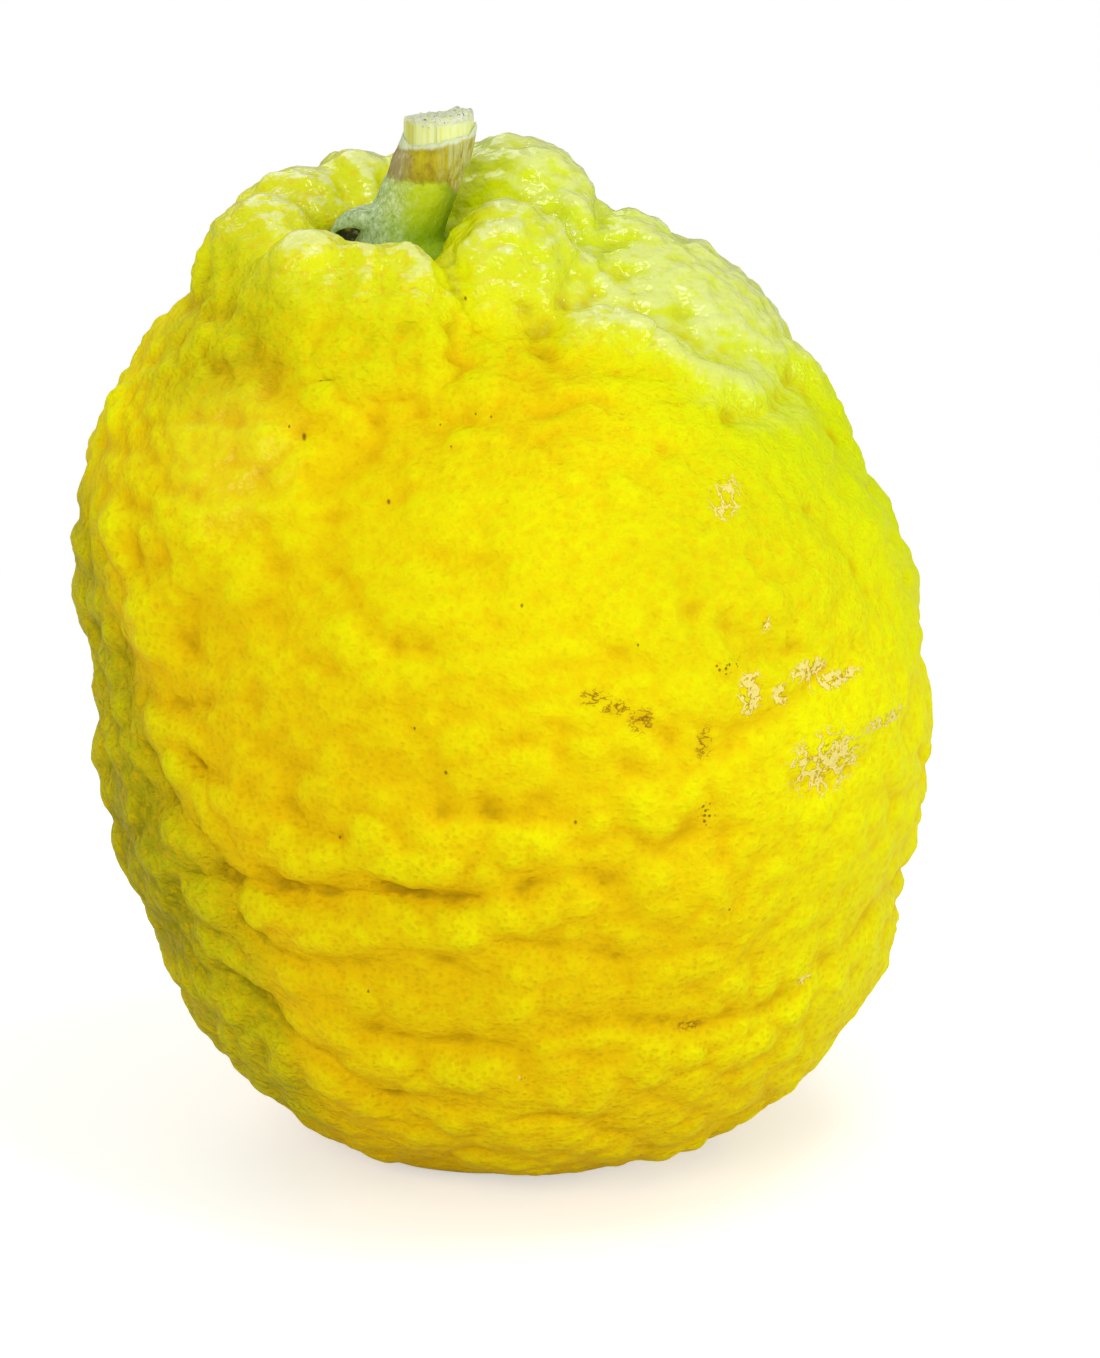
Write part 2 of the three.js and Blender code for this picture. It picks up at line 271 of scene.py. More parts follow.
# folds on the near side: depth or height and width in mm, then the points they run through, which are
# (across, up) as shares of half the width and of the rim's height
skinFolds = {
    "step": 0.5,  # mm between the points of a route
    "grip": 0.75,  # mm that each of them takes hold of
    # a furrow has a soft bank and a sharp cut, as shares of its depth and width
    "bank": (0.35, 2.2),
    "cut": (1.5, 1.45),
    "furrows": [
        # the long crease below the middle and its branches
        (1.4, 3.0, [(-0.72, 0.366), (-0.62, 0.373), (-0.5, 0.376), (-0.4, 0.374), (-0.3, 0.384),
                    (-0.22, 0.385), (-0.145, 0.378), (-0.08, 0.384)]),
        (0.5, 3.0, [(-0.05, 0.388), (0.02, 0.394), (0.09, 0.405), (0.16, 0.408), (0.24, 0.404)]),
        (0.8, 2.6, [(-0.83, 0.475), (-0.77, 0.44), (-0.7, 0.412), (-0.655, 0.395)]),
        (0.7, 2.6, [(-0.72, 0.485), (-0.67, 0.475), (-0.6, 0.468)]),
        (0.6, 2.6, [(-0.55, 0.515), (-0.5, 0.51), (-0.46, 0.503)]),
        (0.6, 2.6, [(-0.5, 0.488), (-0.48, 0.46), (-0.43, 0.446), (-0.36, 0.44)]),
        (0.9, 2.8, [(-0.63, 0.34), (-0.59, 0.32), (-0.54, 0.301), (-0.47, 0.294), (-0.39, 0.295)]),
        (0.5, 2.6, [(-0.32, 0.302), (-0.26, 0.31)]),
        (0.6, 2.6, [(-0.21, 0.324), (-0.15, 0.319), (-0.08, 0.302)]),
        (0.8, 2.6, [(-0.3, 0.222), (-0.2, 0.221), (-0.1, 0.219), (0.0, 0.217)]),
        (0.7, 2.6, [(-0.62, 0.257), (-0.55, 0.226), (-0.5, 0.202), (-0.41, 0.185), (-0.33, 0.158)]),
        (0.5, 2.4, [(-0.27, 0.147), (-0.18, 0.142), (-0.09, 0.139)]),
        (0.6, 2.6, [(-0.75, 0.335), (-0.745, 0.3), (-0.74, 0.265), (-0.71, 0.23)]),
        (0.6, 2.8, [(-0.14, 0.474), (-0.05, 0.471), (0.03, 0.468), (0.1, 0.468), (0.16, 0.464)]),
        (0.7, 2.6, [(0.03, 0.34), (0.1, 0.333), (0.18, 0.325), (0.25, 0.315)]),
        (0.5, 2.6, [(0.06, 0.244), (0.1, 0.236), (0.15, 0.232)]),
        (0.7, 2.6, [(0.31, 0.236), (0.38, 0.23), (0.5, 0.225), (0.6, 0.229), (0.68, 0.236)]),
        (0.5, 2.6, [(0.72, 0.258), (0.78, 0.262), (0.84, 0.28)]),
        (0.5, 2.8, [(0.5, 0.41), (0.56, 0.408), (0.63, 0.405)]),
        (0.25, 2.6, [(0.3, 0.415), (0.34, 0.427), (0.38, 0.435)]),
        (0.4, 2.6, [(0.5, 0.16), (0.58, 0.165), (0.66, 0.18)]),
        # under the scars on the right
        (0.35, 2.6, [(0.53, 0.525), (0.6, 0.543), (0.68, 0.56), (0.77, 0.578)]),
        (0.5, 2.8, [(0.67, 0.472), (0.76, 0.466), (0.85, 0.478)]),
        (0.5, 2.8, [(0.54, 0.607), (0.6, 0.602), (0.65, 0.6)]),
        (0.5, 2.4, [(0.41, 0.675), (0.425, 0.655)]),
        # the middle and the upper left
        (0.5, 3.0, [(-0.53, 0.64), (-0.47, 0.612), (-0.4, 0.601), (-0.33, 0.597)]),
        (0.6, 3.2, [(-0.4, 0.69), (-0.345, 0.67), (-0.3, 0.64), (-0.245, 0.625), (-0.19, 0.63)]),
        (0.4, 3.2, [(-0.22, 0.72), (-0.15, 0.711), (-0.05, 0.705)]),
        (0.4, 3.0, [(0.08, 0.615), (0.16, 0.61), (0.24, 0.617)]),
        (0.4, 3.0, [(0.05, 0.55), (0.11, 0.548), (0.13, 0.53)]),
        (0.4, 3.0, [(-0.54, 0.76), (-0.545, 0.725), (-0.53, 0.69)]),
        (0.8, 2.2, [(-0.585, 0.558), (-0.57, 0.553)]),
        (0.6, 2.4, [(-0.71, 0.62), (-0.715, 0.59)]),
        (0.8, 2.4, [(-0.83, 0.535), (-0.78, 0.527), (-0.74, 0.535), (-0.69, 0.543)]),
        (0.7, 2.4, [(-0.86, 0.69), (-0.835, 0.66), (-0.81, 0.635), (-0.785, 0.605)]),
        (0.7, 2.2, [(-0.93, 0.66), (-0.895, 0.64)]),
        (0.6, 2.2, [(-0.92, 0.595), (-0.885, 0.57)]),
        (0.6, 2.2, [(-0.935, 0.725), (-0.92, 0.705)]),
        # between and below the lobes of the crown
        (0.6, 2.2, [(-0.364, 0.982), (-0.36, 0.965), (-0.356, 0.95)]),
        (0.9, 2.2, [(-0.275, 0.977), (-0.273, 0.96), (-0.28, 0.94)]),
        (0.45, 2.0, [(-0.225, 0.975), (-0.222, 0.962)]),
        (0.6, 2.4, [(-0.14, 0.972), (-0.125, 0.95), (-0.108, 0.925)]),
        (0.5, 2.4, [(-0.112, 0.89), (-0.118, 0.862), (-0.1, 0.838), (-0.08, 0.822)]),
        (0.6, 2.4, [(-0.215, 0.898), (-0.207, 0.87), (-0.2, 0.838), (-0.175, 0.812)]),
        (0.5, 2.4, [(-0.6, 0.893), (-0.565, 0.863), (-0.51, 0.832), (-0.455, 0.806)]),
        (1.3, 2.8, [(-0.705, 0.862), (-0.67, 0.853), (-0.635, 0.851)]),
        (0.8, 2.4, [(-0.69, 0.93), (-0.7, 0.905), (-0.695, 0.885)]),
        (0.7, 2.4, [(-0.635, 0.945), (-0.645, 0.915), (-0.65, 0.885)]),
        (0.6, 2.4, [(0.045, 0.905), (0.075, 0.875), (0.12, 0.862), (0.17, 0.858)]),
        (0.6, 2.4, [(0.155, 0.93), (0.14, 0.905)]),
        # below the ridges on the upper right
        (0.6, 2.6, [(0.22, 0.882), (0.25, 0.868), (0.29, 0.862)]),
        (0.8, 2.8, [(0.51, 0.803), (0.58, 0.8), (0.63, 0.797), (0.68, 0.8)]),
        (0.5, 2.8, [(0.53, 0.905), (0.57, 0.887), (0.62, 0.87)]),
        (0.5, 3.4, [(0.4, 0.88), (0.45, 0.86), (0.5, 0.848)]),
        (0.4, 3.0, [(0.22, 0.79), (0.28, 0.777), (0.34, 0.785)]),
        (0.6, 3.0, [(0.775, 0.74), (0.785, 0.712)]),
    ],
    # rolls raised from the skin
    "ridges": [
        (1.3, 6.0, [(-0.42, 0.858), (-0.34, 0.853), (-0.25, 0.85), (-0.16, 0.85)]),
        (1.1, 5.5, [(-0.06, 0.9), (-0.05, 0.87), (-0.04, 0.845)]),
        (0.4, 5.0, [(-0.4, 0.83), (-0.34, 0.825)]),
        (1.3, 4.6, [(-0.505, 0.955), (-0.475, 0.967)]),
        (0.7, 3.5, [(-0.09, 0.955), (-0.05, 0.96), (0.0, 0.965)]),
        (0.9, 2.8, [(0.165, 0.965), (0.19, 0.93), (0.205, 0.91), (0.25, 0.893), (0.29, 0.886)]),
        (1.1, 2.8, [(0.31, 0.879), (0.36, 0.868), (0.4, 0.854), (0.43, 0.844), (0.47, 0.836),
                    (0.51, 0.83), (0.55, 0.82), (0.585, 0.806)]),
        (0.8, 3.4, [(0.3, 0.985), (0.42, 0.95), (0.52, 0.915)]),
        (0.9, 5.0, [(-0.8, 0.512), (-0.74, 0.477), (-0.67, 0.45), (-0.6, 0.434), (-0.5, 0.424),
                    (-0.4, 0.42)]),
        (0.9, 4.6, [(-0.3, 0.425), (-0.18, 0.428), (-0.06, 0.432), (0.06, 0.438)]),
        (1.0, 4.4, [(-0.76, 0.41), (-0.72, 0.395)]),
        (1.0, 6.0, [(-0.39, 0.485), (-0.33, 0.478), (-0.29, 0.47)]),
        (0.9, 4.2, [(-0.69, 0.338), (-0.66, 0.325)]),
        (1.0, 5.0, [(-0.56, 0.342), (-0.5, 0.335), (-0.45, 0.33)]),
        (1.1, 5.0, [(-0.36, 0.342), (-0.3, 0.35), (-0.25, 0.355)]),
        (0.9, 4.6, [(-0.16, 0.353), (-0.12, 0.352)]),
        (0.9, 5.0, [(-0.03, 0.36), (0.04, 0.366), (0.12, 0.37)]),
        (0.7, 4.6, [(-0.62, 0.285), (-0.58, 0.27)]),
        (0.8, 4.6, [(-0.46, 0.262), (-0.4, 0.26), (-0.36, 0.262)]),
        (1.0, 5.0, [(-0.29, 0.266), (-0.24, 0.264), (-0.18, 0.262)]),
        (0.9, 4.8, [(-0.08, 0.265), (-0.02, 0.268), (0.04, 0.275)]),
        (0.8, 4.6, [(0.13, 0.288), (0.2, 0.285)]),
        (0.7, 4.6, [(-0.44, 0.222), (-0.4, 0.215)]),
        (1.0, 4.6, [(-0.31, 0.188), (-0.22, 0.184), (-0.12, 0.182), (-0.02, 0.183)]),
        (0.7, 4.4, [(-0.4, 0.14), (-0.34, 0.125)]),
        (0.7, 4.4, [(-0.08, 0.112), (0.0, 0.112)]),
        (0.7, 4.6, [(0.32, 0.19), (0.44, 0.185), (0.56, 0.193)]),
        (0.6, 5.0, [(0.3, 0.28), (0.42, 0.275), (0.52, 0.275)]),
        (0.6, 5.0, [(0.33, 0.36), (0.44, 0.365)]),
        (0.7, 5.0, [(0.72, 0.515), (0.8, 0.52), (0.86, 0.53)]),
        (0.6, 4.6, [(0.22, 0.47), (0.3, 0.475)]),
        (0.7, 4.6, [(-0.62, 0.675), (-0.62, 0.655)]),
        (0.6, 5.0, [(-0.2, 0.665), (-0.14, 0.66)]),
        (0.6, 4.8, [(-0.36, 0.63), (-0.31, 0.61)]),
        (0.5, 5.0, [(-0.52, 0.8), (-0.51, 0.78)]),
        (0.9, 3.6, [(-0.83, 0.635), (-0.81, 0.61), (-0.795, 0.59)]),
        (0.8, 3.4, [(-0.905, 0.79), (-0.905, 0.77)]),
        (0.8, 3.4, [(-0.915, 0.7), (-0.91, 0.68)]),
        (0.8, 3.4, [(-0.9, 0.535), (-0.895, 0.505)]),
    ],
}


def addSwelling(middle, radii, turn=0.0, tip=0.0):
    bpy.ops.mesh.primitive_uv_sphere_add(
        segments=64, ring_count=40, radius=1, location=middle, scale=radii,
        rotation=(0, math.radians(tip), math.radians(turn)))


# every swelling of the fruit as an ellipsoid, melted into one skin
def blockOutFruit():
    shape = fruitShape
    bpy.ops.object.select_all(action="DESELECT")
    shift = Vector((*shape["shift"], 0)) * half
    before = set(bpy.data.objects)
    for at, radii, turn, tip in shape["trunk"]:
        middle = shift + Vector((at[0] * half, at[1] * half, at[2] * rim))
        addSwelling(middle, (radii[0] * half, radii[1] * half, radii[2] * rim), turn, tip)
    collarX, collarY, collarRadius = shape["collar"]
    for angle, out, top, wide, deep, tall in shape["lobes"]:
        turn = math.radians(angle)
        across = Vector((math.cos(turn), math.sin(turn), 0)) * out * collarRadius * half
        foot = Vector((collarX * half, collarY * half, top * rim - tall * half))
        addSwelling(shift + foot + across, (deep * half, wide * half, tall * half), angle)
    swellings = [o for o in bpy.data.objects if o not in before]
    for swelling in swellings:
        swelling.select_set(True)
    bpy.ops.object.join()
    fruit = bpy.context.object
    fruit.name = "fruit_skin"
    bpy.ops.object.transform_apply(location=True, rotation=True, scale=True)
    applyModifier(fruit, "REMESH", mode="VOXEL", voxel_size=shape["voxel"])
    applyModifier(fruit, "SMOOTH", factor=0.5, iterations=shape["melt"])
    return fruit


# close points along a line that runs through the given ones, on the near side of the skin
def routeOnSkin(skin, points):
    line = [Vector((across * half, 0, up * rim)) for across, up in points]
    route = []
    for start, end in zip(line, line[1:]):
        count = max(1, round((end - start).length / (skinFolds["step"] * mm)))
        route += [start.lerp(end, i / count) for i in range(count)]
    route.append(line[-1])
    hits = [skin.ray_cast(point - Vector((0, 3 * half, 0)), Vector((0, 1, 0)))[0] for point in route]
    return [hit for hit in hits if hit]


# moves a line of vertices in or out, and the skin round it less and less
def pressLine(mesh, tree, route, height, width, falloff):
    bpy.ops.mesh.select_all(action="DESELECT")
    edited = bmesh.from_edit_mesh(mesh)
    edited.verts.ensure_lookup_table()
    for point in route:
        for _, index, _ in tree.find_range(point, skinFolds["grip"] * mm):
            edited.verts[index].select = True
    edited.select_flush(True)
    bpy.ops.transform.shrink_fatten(
        value=height * mm, use_proportional_edit=True, proportional_edit_falloff=falloff,
        proportional_size=width * mm)


def sculptFolds(fruit):
    mesh = fruit.data
    tree = KDTree(len(mesh.vertices))
    for vertex in mesh.vertices:
        tree.insert(vertex.co, vertex.index)
    tree.balance()
    skin = BVHTree.FromObject(fruit, bpy.context.evaluated_depsgraph_get())
    only(fruit)
    bpy.ops.object.mode_set(mode="EDIT")
    bpy.ops.mesh.select_mode(type="VERT")
    bankHeight, bankWidth = skinFolds["bank"]
    cutDepth, cutWidth = skinFolds["cut"]
    for depth, width, points in skinFolds["furrows"]:
        route = routeOnSkin(skin, points)
        pressLine(mesh, tree, route, bankHeight * depth, bankWidth * width, "SMOOTH")
        pressLine(mesh, tree, route, -cutDepth * depth, cutWidth * width, "SHARP")
    for height, width, points in skinFolds["ridges"]:
        pressLine(mesh, tree, routeOnSkin(skin, points), height, width, "SMOOTH")
    bpy.ops.object.mode_set(mode="OBJECT")
    applyModifier(fruit, "SMOOTH", factor=0.5, iterations=1)


# the flat that the fruit rests on
def flattenFoot(fruit):
    only(fruit)
    bpy.ops.object.mode_set(mode="EDIT")
    bpy.ops.mesh.select_all(action="DESELECT")
    edited = bmesh.from_edit_mesh(fruit.data)
    for vertex in edited.verts:
        vertex.select = vertex.co.z < 0
    edited.select_flush(True)
    bpy.ops.transform.resize(value=(1, 1, 0), center_override=(0, 0, 0))
    bpy.ops.object.mode_set(mode="OBJECT")


# each kind of lump has its size along each axis and how far it rises, in mm
skinRelief = {
    "bendSpacing": 19,
    "bend": (11, 11, 7),  # how far the folds wander
    "slant": 40,  # degrees that the high folds run down to the right
    "lowPillows": ((12, 11, 7.2), 1.7),
    "highPillows": ((12, 10, 7.5), 1.5),
    "lumps": ((5.6, 5.4, 4.4), 0.75),
    "nubs": ((3.7, 3.7, 3.3), 0.45),
    "knobs": ((2.4, 2.4, 2.1), 0.34),
    "edgeLumps": ((7, 9, 6), 1.3),
    "swell": ((15, 15, 12), 0.3),
    "pillowHeights": (78, 56),  # where the high folds have given way to the low ones
    "lobeHeights": (86, 98),  # where the collar of lobes begins, with its finer lumps
    "foot": (0.1, 4),  # where the flat foot ends and the relief is whole
    # where the skin is smoother: the middle of each place and how far it reaches
    "calm": [((0, -48, 86), (24, 36, 16)), ((38, -30, 56), (14, 22, 12)), ((20, 44, 78), (30, 26, 18)),
             ((42, -28, 42), (18, 24, 18)), ((34, -8, 104), (18, 26, 11))],
    "sheenLightSide": (0.3, -0.2, 0.93),  # the way that the painted sheen faces, towards the light
    "patches": (22, 22, 16),
    "smallPatches": (6, 6, 5),
}


# folds, lumps and knobs over the whole skin
def reliefSkin(graph, point, normal):
    shape = skinRelief
    across, inward, height = [graph.part(point, letter) for letter in "XYZ"]
    wander = graph.vector("SUBTRACT", graph.wander(point, shape["bendSpacing"]), (0.5, 0.5, 0.5))
    bent = graph.vector("ADD", point, graph.vector("MULTIPLY", wander, shape["bend"]))
    slanted = graph.add("ShaderNodeVectorRotate", {"rotation_type": "Y_AXIS"},
                        {"Vector": bent, "Angle": math.radians(-shape["slant"])})

    # rounded domes packed side by side
    def domes(name, where):
        size, rise = shape[name]
        placed = graph.vector("DIVIDE", where, size)
        away = graph.add("ShaderNodeTexVoronoi", {"feature": "SMOOTH_F1"},
                         {"Vector": placed, "Scale": 1.0, "Smoothness": 0.2, "Randomness": 0.95})
        return (0.5 - away * away * 1.5) * rise

    low = height.ramp(*shape["pillowHeights"])
    lobed = 1 - 0.75 * height.ramp(*shape["lobeHeights"])
    large = domes("lowPillows", bent) * low + domes("highPillows", slanted) * (1 - low) * lobed
    drawn = inward.ramp(4, -24)  # the near side keeps less of them, since its rolls are drawn one by one
    edges = across.ramp(-24, -44) + across.ramp(36, 50) * 0.5
    large = large * (1 - 0.4 * drawn) + domes("edgeLumps", bent) * edges * lobed
    swellSize, swellRise = shape["swell"]
    large = large + graph.noise(bent, swellSize, 1.0) * swellRise * lobed

    middle = height.ramp(50, 64) * across.ramp(-46, -30)
    small = domes("lumps", slanted) * (0.3 + 0.7 * lobed) * (1 - 0.5 * middle)
    small = small + domes("nubs", bent) + domes("knobs", point)
    calm = reduce(Wire.higher, [graph.near(point, *place, 0.5, 1.25) for place in shape["calm"]])
    rise = large * (1 - 0.6 * calm) + small * (1.85 - 0.4 * calm - 0.8 * lobed)
    return graph.vector("SCALE", normal, scale=rise * height.ramp(*shape["foot"])), {}


# places on the rind: the middle of each and how far it reaches in mm, and how strong it is
rindZones = {
    "golden": [((-20, -30, 106), (20, 16, 16), 0.2), ((6, -36, 108), (13, 16, 13), 0.55),
               ((22, -38, 100), (14, 14, 9), 0.12), ((44, -24, 44), (18, 30, 30), -0.3)],
    # the olive places are painted shade: the shaded left side and the steep faces of the crown lobes
    "olive": [((-44, -12, 32), (22, 32, 30), 1.05), ((-52, 0, 68), (12, 24, 18), 0.5),
              ((-34, -20, 12), (16, 20, 16), 0.6), ((-36, -14, 108), (12, 16, 14), 0.5),
              ((-50, -8, 64), (13, 22, 20), 0.4), ((-18, -32, 108), (20, 16, 12), 0.36),
              ((6, -26, 112), (12, 16, 12), 0.3)],
    "lessGreen": [((6, -34, 110), (12, 14, 12), 0.3)],
    "ripeCrown": [((6, -32, 111), (13, 14, 12), 0.6)],
    # a deeper green, painted shade low on the left
    "deepOlive": [((-43, -18, 39), (11, 14, 14), 1)],
    "dull": [((32, -36, 82), (18, 16, 16), 1)],
    "dotted": [((-14, -28, 104), (26, 16, 12), 0.4)],
    "thickBloom": [((30, -6, 106), (20, 30, 12), 0.14), ((3, 12, 120), (12, 14, 6), 0.12)],
    "glossy": [((-34, -32, 97), (9, 12, 10), 0.35)],
}


# what the colours are worked out from, kept at each point of the skin; the depth in folds, the turn downward
# and the turn towards the light set painted shade and painted highlight
def measureSkin(graph, point, normal):
    across, inward, up = [graph.part(point, letter) for letter in "XYZ"]

    # how much of a named zone a point is in
    def zone(name):
        return sum(graph.near(point, place, reach) * strength for place, reach, strength in rindZones[name])

    def blur(value, steps):
        return graph.add("GeometryNodeBlurAttribute", {"data_type": "FLOAT_VECTOR"},
                         {"Value": value, "Iterations": steps})

    # how far below the skin round it a point lies, in mm
    def depth(steps):
        return graph.dot(graph.vector("SUBTRACT", blur(point, steps), point), normal)

    hollow = depth(10)
    tilt = graph.dot(graph.vector("SUBTRACT", normal, blur(normal, 36)), (0, 0, 1))
    patches = graph.noise(point, skinRelief["patches"], 2.0)
    smallPatches = graph.noise(point, skinRelief["smallPatches"], 3.0)
    goldenSide = 0.66 + (66 - up).lower(20) / 100 - across / 210 + patches * 0.06
    greenSide = (across - 14) / 40 + (up - 88) / 34 + inward / 130 + patches * 0.2
    greenTop = (greenSide - zone("lessGreen")).ramp(-0.1, 0.7)
    bloomArea = (greenTop * 0.9 + (up - 102) / 20).ramp(0.3, 1.0)
    return (0, 0, 0), {
        "hollow": hollow,
        # how deep in a fold and how far turned down a point is, which sets the painted shade
        "sunk": hollow * 0.8 + depth(90) * 0.35 - tilt * 0.75 + smallPatches * 0.1,
        # how far a point turns towards the light, which sets the painted sheen
        "facing": graph.dot(normal, skinRelief["sheenLightSide"]) - hollow * 0.6 + tilt * 0.3,
        "goldenSide": goldenSide + zone("golden"),
        "greenTop": greenTop,
        "oliveSide": (zone("olive") + patches * 0.15).ramp(0.1, 0.9),
        "crown": (up + patches * 3 + smallPatches).ramp(105, 117) * (1 - zone("ripeCrown")),
        "wavyUp": up + patches * 3,
        "deepOlive": zone("deepOlive"),
        "dull": zone("dull"),
        "dotted": zone("dotted"),
        "bloomArea": bloomArea,
        "thickBloom": zone("thickBloom"),
        "wax": bloomArea.higher(zone("glossy")),
    }


fruit = blockOutFruit()
print("fruit blocked out:", len(fruit.data.vertices), "vertices")
moveByNodes(fruit, "skinRelief", reliefSkin)
print("skin relief applied")
sculptFolds(fruit)
flattenFoot(fruit)
moveByNodes(fruit, "skinMeasures", measureSkin)
bpy.ops.object.shade_smooth()
print("folds sculpted:", len(fruit.data.polygons), "faces")


calyxLow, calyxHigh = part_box("calyx")
stemLow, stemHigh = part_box("stem")
calyxTall = calyxHigh.z - calyxLow.z
stemTall = stemHigh.z - stemLow.z

# heights are shares of the calyx's own height, radii and lengths are in mm
calyxShape = {
    "foot": (-0.27, 0.02),  # where the stem springs, in shares of the fruit's half width
    "lean": 0.127,
    "leanFrom": 0.9,  # share of the rim's height
    "leanTo": 0.56,  # share of the stem's height
    "segments": 40,
    "rings": [(-0.16, 5.6), (0.1, 5.2), (0.3, 4.95), (0.56, 4.8), (0.8, 4.72), (0.98, 4.66), (1.04, 4.6),
              (1.08, 4.3)],
    # the bearing of each sepal, and the band of the stalk that it springs from
    "sepals": [(180, 0.28, 0.58), (252, -0.16, 0.1), (324, -0.16, 0.1), (36, -0.16, 0.1), (108, -0.16, 0.1)],
    "halfSpread": 24,  # degrees
    # out, up, and how much narrower and thinner each step of a sepal is
    "sepalSteps": [(1.5, 0.1, 0.92, 0.9), (1.7, -0.35, 0.86, 0.85), (1.2, -1.0, 0.8, 0.85),
                   (0.5, -1.0, 0.7, 0.8)],
}

stemShape = {
    "segments": 96,
    "woodRadius": 4.15,
    "barkThickness": 0.42,
    "barkSlope": 0.16,
    "lip": 0.52,  # share of the stem's height
    # shares of the stem's height, and what is added to the radius there
    "woodRings": [(0.0, -0.5), (0.01, 0), (0.2, 0), (0.4, 0), (0.6, 0), (0.72, 0), (0.8, 0), (0.88, 0),
                  (0.94, 0), (0.98, -0.1), (1.0, -0.35), (1.0, -1.2), (0.99, -2.4), (0.99, -3.4)],
    "barkRings": [(-0.1, -0.5), (-0.06, -0.2), (0.0, 0), (0.1, 0.05), (0.2, 0.12), (0.3, 0.12), (0.4, 0.05),
                  (0.5, 0), (0.57, -0.02), (0.61, -0.12), (0.63, -0.35), (0.62, -0.6), (0.57, -0.9),
                  (0.5, -1.2)],
}


# the middle of the leaning stem at this height
def stemMiddle(height):
    start = calyxShape["leanFrom"] * rim
    rise = (height - start) / (stemLow.z + calyxShape["leanTo"] * stemTall - start)
    lean = calyxShape["lean"] * min(max(rise, 0), 1)
    footX, footY = calyxShape["foot"]
    shiftX, shiftY = fruitShape["shift"]
    return Vector(((footX + lean + shiftX) * half, (footY + shiftY) * half, height))


rindFinish = {
    "yellow": (0.89, 0.87, 0.003, 1),
    "golden": (0.85, 0.55, 0.003, 1),
    "chartreuse": (0.70, 0.82, 0.004, 1),
    "lime": (0.76, 0.81, 0.006, 1),
    "olive": (0.42, 0.40, 0.006, 1),
    "crease": (0.60, 0.35, 0.003, 1),
    "greenCreaseShade": (0.30, 0.27, 0.004, 1),
    "creaseShadowLine": (0.34, 0.21, 0.004, 1),
    "gland": (0.60, 0.37, 0.003, 1),
    "paintedSheen": (0.86, 0.92, 0.46, 1),
    "scar": (0.90, 0.76, 0.22, 1),
    "scarEdge": (0.40, 0.17, 0.01, 1),
    "rust": (0.45, 0.24, 0.008, 1),
    "speck": (0.22, 0.09, 0.005, 1),
    "footShade": (0.10, 0.16, 0.006, 1),
    "shade": (0.02, 0.03, 0.004, 1),
    "gloss": (1.0, 0.85, 0.02, 1),
    "dimpleSpacing": 1.6,  # mm
    "glandSpacing": 0.84,  # mm
    "glandDepth": 0.14,  # mm
    "roughness": 0.4,
    "waxRoughness": 0.17,
}

# marks on the near side: (across, up) as shares of half the width and of the rim's height, then sizes in mm
rindMarks = {
    # corky scars: half sizes across and up, how thickly they cover
    "scars": [
        ((0.555, 0.57), (1.5, 2.8), 0.95),
        ((0.625, 0.562), (1.1, 1.5), 0.9),
        ((0.69, 0.578), (2.2, 1.4), 0.9),
        ((0.75, 0.562), (3.4, 1.0), 0.9),
        ((0.73, 0.487), (4.8, 4.2), 0.8),
        ((0.87, 0.505), (2.8, 1.0), 0.8),
        ((0.59, 0.632), (0.7, 1.2), 0.8),
        ((0.5, 0.744), (2.2, 2.4), 0.6),
        ((0.69, 0.25), (1.0, 0.6), 0.9),
        ((0.04, 0.185), (0.5, 0.4), 0.8),
    ],
    # brown russet marks, in the same way
    "russets": [
        ((0.2, 0.584), (1.8, 1.0), 1),
        ((0.25, 0.574), (1.8, 0.9), 1),
        ((0.31, 0.56), (1.6, 1.5), 1),
        ((0.45, 0.53), (1.0, 1.8), 1),
        ((0.42, 0.228), (1.6, 0.7), 1),
    ],
    # patches of pin-prick dots, in the same way
    "peppers": [
        ((0.455, 0.458), (1.1, 1.9), 1),
        ((0.5, 0.6), (1.6, 0.9), 1),
    ],
    # single dark specks: radius
    "specks": [
        ((-0.37, 0.44), 0.3), ((-0.13, 0.515), 0.35), ((-0.2, 0.555), 0.25), ((0.04, 0.67), 0.3),
        ((-0.453, 0.803), 0.45), ((-0.487, 0.812), 0.25), ((-0.26, 0.752), 0.38), ((-0.09, 0.915), 0.32),
        ((-0.065, 0.825), 0.22), ((-0.03, 0.823), 0.22), ((-0.145, 0.815), 0.2), ((-0.12, 0.8), 0.2),
        ((-0.31, 0.276), 0.28), ((0.16, 0.465), 0.35), ((0.3, 0.63), 0.25), ((0.51, 0.357), 0.25),
    ],
}


# marks of one kind: 1 inside each, easing to 0 outside it, times how thickly it covers
def spots(skin, marks, inner, outer):
    found = []
    for (across, up), (wide, tall), thick in marks:
        middle = (across * half / mm, 0, up * rim / mm)
        radii = (wide, 1000, tall)  # so deep that only across and up count
        found.append(skin.graph.near(skin.point, middle, radii, inner, outer) * thick)
    return reduce(Wire.higher, found)


# the values that the colours are worked out from, read at each point of the skin
def readSkin(graph, point):
    skin = SimpleNamespace(graph=graph, point=point)
    skin.across, skin.inward, skin.up = [graph.part(point, letter) for letter in "XYZ"]
    names = ("hollow", "sunk", "facing", "goldenSide", "greenTop", "oliveSide", "crown", "wavyUp",
             "deepOlive", "dull", "dotted", "bloomArea", "thickBloom", "wax")
    for name in names:
        setattr(skin, name, graph.add("ShaderNodeAttribute", {"attribute_name": name}, None, "Fac"))
    skin.front = skin.inward.ramp(0, -6)
    skin.mottle = graph.noise(point, (2.0, 2.0, 1.7), 3.0, 0.6)
    skin.shaken = graph.vector("ADD", point, graph.vector("SCALE", graph.wander(point, 1.7), scale=0.6))
    gland = graph.cells(point, rindFinish["glandSpacing"], 0.88)
    skin.dot = gland.ramp(0.6, 0.14)
    skin.pebble = gland.ramp(0.2, 0.75)
    return skin
